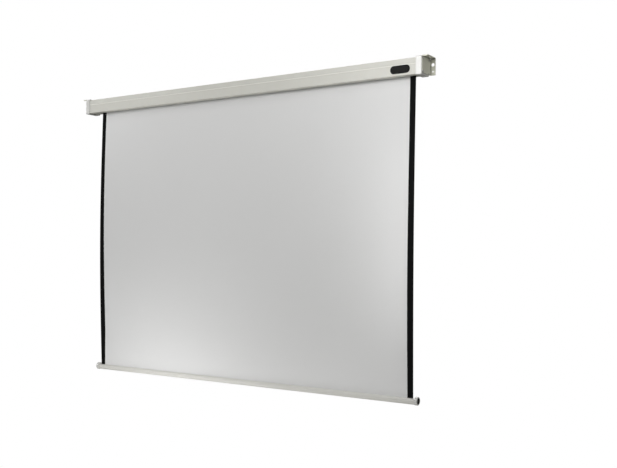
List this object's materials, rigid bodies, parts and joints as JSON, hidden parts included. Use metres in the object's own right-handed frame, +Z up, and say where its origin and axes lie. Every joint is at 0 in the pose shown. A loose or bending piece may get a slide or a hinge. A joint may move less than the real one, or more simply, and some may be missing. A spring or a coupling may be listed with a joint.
{
  "type": "projection screen",
  "caption": "Wide roll-down projection screen hanging from a slim wall case, with white fabric, black side borders, a rounded bottom bar and a motor inside the roller.",
  "frame": {"origin": "on the wall plane, at the middle of the case between its end caps and at the middle of its height", "axes": "+X right seen from the front, +Y back into the wall, +Z up; the fabric is fully down at rest"},
  "size_m": [2.2536, 0.0956, 1.6171],
  "materials": {
    "case_paint": "extruded, with a satin off-white powder coat",
    "cap_plastic": "fine-grained off-white moulding",
    "bracket_steel": "satin off-white paint on sheet steel",
    "badge_black": "smooth, blank",
    "black_plastic": "moulded nylon",
    "grey_plastic": "moulded",
    "adjuster_plastic": "moulded",
    "zinc_screw": "bright zinc plating",
    "plain_steel": "bare",
    "raw_aluminium": "as extruded",
    "bronze": "sintered bronze",
    "screen_white": "matt white coated screen cloth",
    "border_black": "matt black masking print",
    "bar_paint": "extruded, with a satin light grey coat"
  },
  "bodies": {
    "case": {"rear_profile": "case_paint", "front_cover": "case_paint", "badge_plate": "badge_black", "right_end_cap": "cap_plastic", "left_end_cap": "cap_plastic", "right_bracket": "bracket_steel", "left_bracket": "bracket_steel", "cable_gland": "black_plastic", "gland_nut": "black_plastic", "right_case_screw_front_top": "zinc_screw", "right_case_screw_back_top": "zinc_screw", "right_case_screw_back_low": "zinc_screw", "right_case_screw_front_low": "zinc_screw", "right_carrier_screw_1": "zinc_screw", "right_carrier_screw_2": "zinc_screw", "left_case_screw_front_top": "zinc_screw", "left_case_screw_back_top": "zinc_screw", "left_case_screw_back_low": "zinc_screw", "left_case_screw_front_low": "zinc_screw", "left_carrier_screw_1": "zinc_screw", "left_carrier_screw_2": "zinc_screw", "motor_carrier": "plain_steel", "motor_head": "black_plastic", "motor_tube": "plain_steel", "idler_block": "grey_plastic", "idler_bush": "bronze", "picture_fabric": "screen_white", "left_border": "border_black", "right_border": "border_black"},
    "roller": {"roller_tube": "raw_aluminium", "fabric_strip": "grey_plastic", "crown": "black_plastic", "drive_wheel": "grey_plastic", "drive_shaft": "plain_steel", "idler_plug": "black_plastic", "idler_pin": "plain_steel", "fabric_wraps": "screen_white"},
    "bottom_bar": {"bar_profile": "bar_paint", "hem_rod": "grey_plastic", "weight_rod": "plain_steel", "right_bar_cap": "cap_plastic", "left_bar_cap": "cap_plastic"},
    "up_adjuster": {"limit_adjuster_up": "adjuster_plastic"},
    "down_adjuster": {"limit_adjuster_down": "adjuster_plastic"}
  },
  "joints": [
    {"name": "bar_slide", "type": "slide", "parent": "case", "child": "bottom_bar", "axis": [0, 0, 1], "range_m": [0, 1.485], "deforming": ["picture_fabric", "left_border", "right_border"]},
    {"name": "roller_spin", "type": "hinge", "parent": "case", "child": "roller", "pos_m": [0, -0.03848, -0.006], "axis": [1, 0, 0], "range_deg": [-3770, 0]},
    {"name": "up_adjuster_turn", "type": "hinge", "parent": "case", "child": "up_adjuster", "pos_m": [-1.0854, -0.03848, -0.006], "axis": [0, -0.4987, -0.8668], "range_deg": [-1800, 1800]},
    {"name": "down_adjuster_turn", "type": "hinge", "parent": "case", "child": "down_adjuster", "pos_m": [-1.0744, -0.03848, -0.006], "axis": [0, -0.4987, -0.8668], "range_deg": [-1800, 1800]}
  ],
  "couplings": [
    {"joint": "roller_spin", "follows": "bar_slide", "rad_per_m": -44.2}
  ]
}
